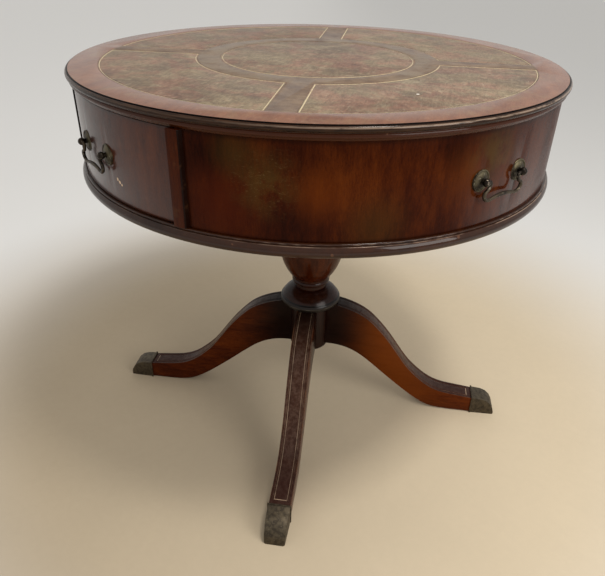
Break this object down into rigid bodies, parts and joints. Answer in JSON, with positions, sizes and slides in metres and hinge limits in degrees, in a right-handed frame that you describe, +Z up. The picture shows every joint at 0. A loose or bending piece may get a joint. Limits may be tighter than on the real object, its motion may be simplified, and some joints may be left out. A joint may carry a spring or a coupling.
{
  "type": "drum table",
  "caption": "Round mahogany drum table with a leather-panelled top, bow-fronted drawers with swan-neck bails, a turned pedestal and sabre legs with brass toe caps",
  "frame": {"origin": "on the floor under the middle of the round top", "axes": "+Z up; -Y is the front, where a drawer opens, +Y the rear, where the other drawer opens, +X the right; the legs stand on the diagonals"},
  "size_m": [0.8214, 0.8194, 0.73],
  "materials": {
    "mahogany": "gloss lacquer",
    "leather": "worn, waxed",
    "carcass_wood": "bare",
    "drawer_lining": "bare, waxed",
    "pull_brass": "antique, lacquered",
    "toe_brass": "antique, dull",
    "steel": "plain"
  },
  "bodies": {
    "case": {"top_board": "mahogany", "leather_centre": "leather", "leather_front": "leather", "leather_right": "leather", "leather_rear": "leather", "leather_left": "leather", "base_moulding": "mahogany", "drum_floor": "carcass_wood", "apron_right": "mahogany", "apron_left": "mahogany", "stile_front_right": "mahogany", "stile_front_left": "mahogany", "stile_rear_left": "mahogany", "stile_rear_right": "mahogany", "drawer_guide_right": "carcass_wood", "drawer_guide_left": "carcass_wood", "kicker_rail_right": "carcass_wood", "kicker_rail_left": "carcass_wood", "centre_divider": "carcass_wood", "mounting_board": "carcass_wood", "wood_screws": "steel", "column": "mahogany", "collar": "mahogany", "hub": "mahogany", "leg_front_right": "mahogany", "leg_rear_right": "mahogany", "leg_rear_left": "mahogany", "leg_front_left": "mahogany", "toe_cap_front_right": "toe_brass", "toe_cap_rear_right": "toe_brass", "toe_cap_rear_left": "toe_brass", "toe_cap_front_left": "toe_brass", "right_pull_rosettes": "pull_brass", "right_pull_posts": "pull_brass", "right_pull_nuts": "pull_brass", "left_pull_rosettes": "pull_brass", "left_pull_posts": "pull_brass", "left_pull_nuts": "pull_brass"},
    "front_drawer": {"front_drawer_front": "mahogany", "front_drawer_side_right": "drawer_lining", "front_drawer_side_left": "drawer_lining", "front_drawer_back": "drawer_lining", "front_drawer_bottom": "drawer_lining", "front_pull_rosettes": "pull_brass", "front_pull_posts": "pull_brass", "front_pull_nuts": "pull_brass"},
    "rear_drawer": {"rear_drawer_front": "mahogany", "rear_drawer_side_right": "drawer_lining", "rear_drawer_side_left": "drawer_lining", "rear_drawer_back": "drawer_lining", "rear_drawer_bottom": "drawer_lining", "rear_pull_rosettes": "pull_brass", "rear_pull_posts": "pull_brass", "rear_pull_nuts": "pull_brass"},
    "front_bail": {"front_pull_bail": "pull_brass"},
    "rear_bail": {"rear_pull_bail": "pull_brass"},
    "right_bail": {"right_pull_bail": "pull_brass"},
    "left_bail": {"left_pull_bail": "pull_brass"}
  },
  "joints": [
    {"name": "front_drawer_slide", "type": "slide", "parent": "case", "child": "front_drawer", "axis": [0, -1, 0], "range_m": [0, 0.26]},
    {"name": "rear_drawer_slide", "type": "slide", "parent": "case", "child": "rear_drawer", "axis": [0, 1, 0], "range_m": [0, 0.26]},
    {"name": "front_bail_swing", "type": "hinge", "parent": "front_drawer", "child": "front_bail", "pos_m": [0, -0.40416, 0.64375], "axis": [-1, 0, 0], "range_deg": [-12, 90]},
    {"name": "rear_bail_swing", "type": "hinge", "parent": "rear_drawer", "child": "rear_bail", "pos_m": [0, 0.40416, 0.64375], "axis": [1, 0, 0], "range_deg": [-12, 90]},
    {"name": "right_bail_swing", "type": "hinge", "parent": "case", "child": "right_bail", "pos_m": [0.40517, 0, 0.64375], "axis": [0, -1, 0], "range_deg": [-12, 90]},
    {"name": "left_bail_swing", "type": "hinge", "parent": "case", "child": "left_bail", "pos_m": [-0.40517, 0, 0.64375], "axis": [0, 1, 0], "range_deg": [-12, 90]}
  ]
}
